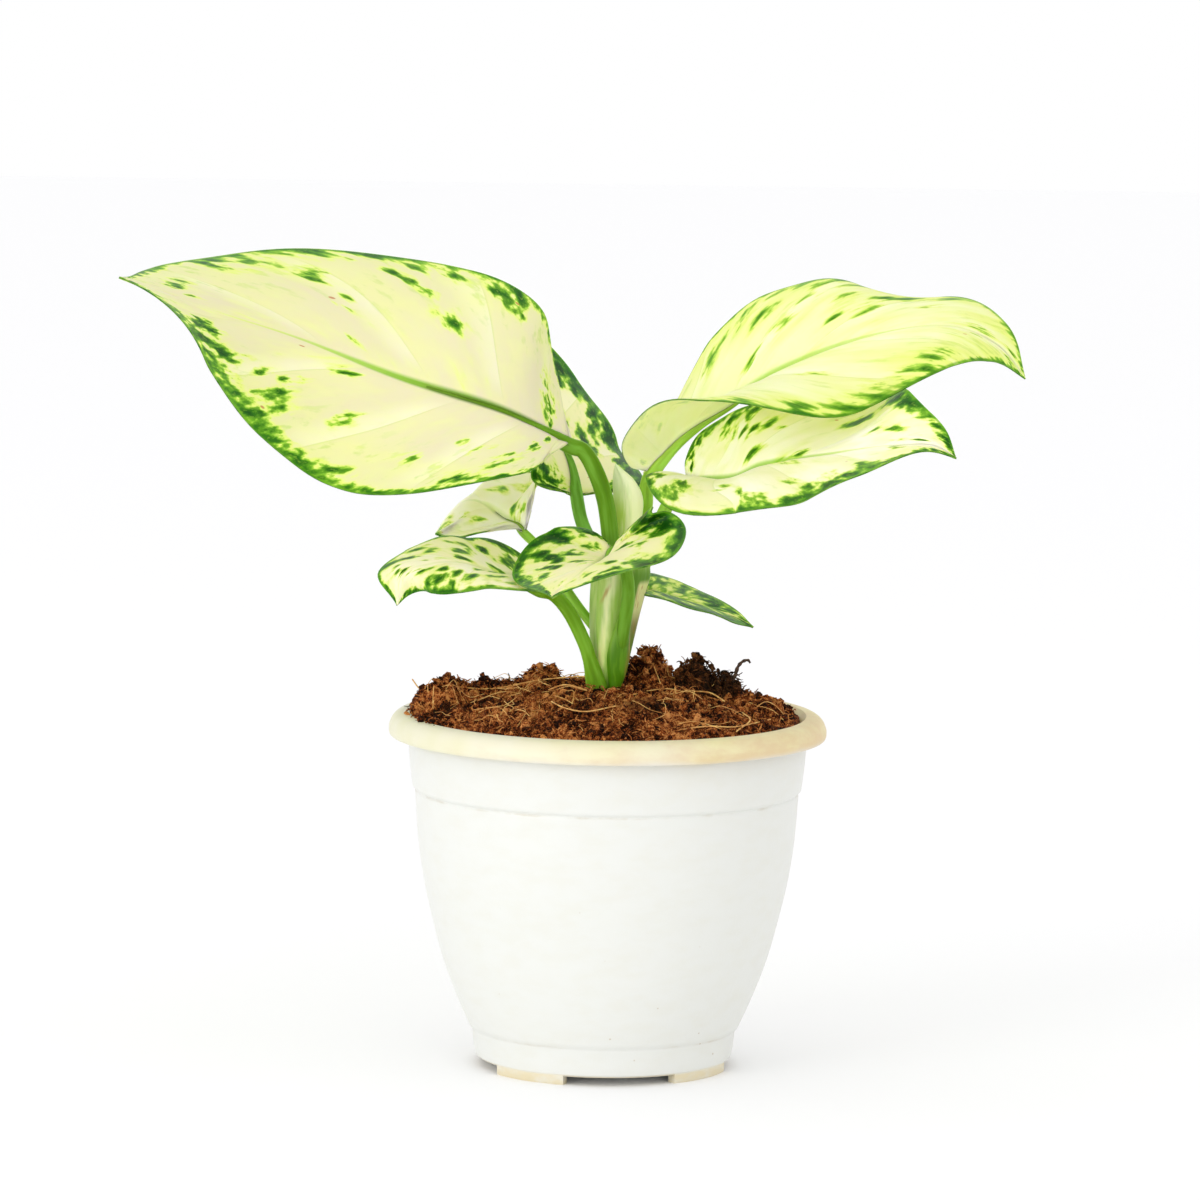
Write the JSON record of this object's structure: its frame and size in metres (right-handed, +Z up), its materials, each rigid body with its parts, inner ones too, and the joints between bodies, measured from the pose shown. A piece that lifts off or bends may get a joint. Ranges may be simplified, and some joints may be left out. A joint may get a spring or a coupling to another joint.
{
  "type": "potted plant",
  "caption": "Young Chinese evergreen with broad cream and green leaves on curved stalks, growing in brown soil in a white round plastic nursery pot with a rolled lip, a collar and low feet.",
  "frame": {"origin": "middle of the bounding box on the ground; the pot's axis stands 10.8 mm along +X from it", "axes": "+Z up; +X towards the tips of the two right leaves and along the plant's widest extent; -Y towards the viewer of the picture"},
  "size_m": [0.2565, 0.125, 0.2301],
  "materials": {
    "pot": "moulded white polypropylene, cream stains on the lip and feet",
    "soil": "crumbly coco peat",
    "stem": "fleshy pale green sheaths",
    "leaf_spear": "thin pale sheath",
    "leaf_left_big": "waxy leaf, cream with green mottled margin",
    "leaf_right_upper": "waxy leaf, yellow-green with green margin",
    "leaf_right_lower": "waxy leaf, cream with green mottled margin",
    "leaf_back": "waxy leaf, mottled green and cream",
    "leaf_front": "waxy leaf, green with cream streaks",
    "leaf_left_lower": "waxy leaf, cream with green streaks",
    "leaf_left_middle": "waxy leaf, cream",
    "leaf_right_small": "waxy leaf, dark green with cream spots"
  },
  "bodies": {
    "root": {"pot": "pot", "soil": "soil", "stem": "stem", "leaf_spear": "leaf_spear", "leaf_left_big": "leaf_left_big", "leaf_right_upper": "leaf_right_upper", "leaf_right_lower": "leaf_right_lower", "leaf_back": "leaf_back", "leaf_front": "leaf_front", "leaf_left_lower": "leaf_left_lower", "leaf_left_middle": "leaf_left_middle", "leaf_right_small": "leaf_right_small"}
  },
  "joints": []
}
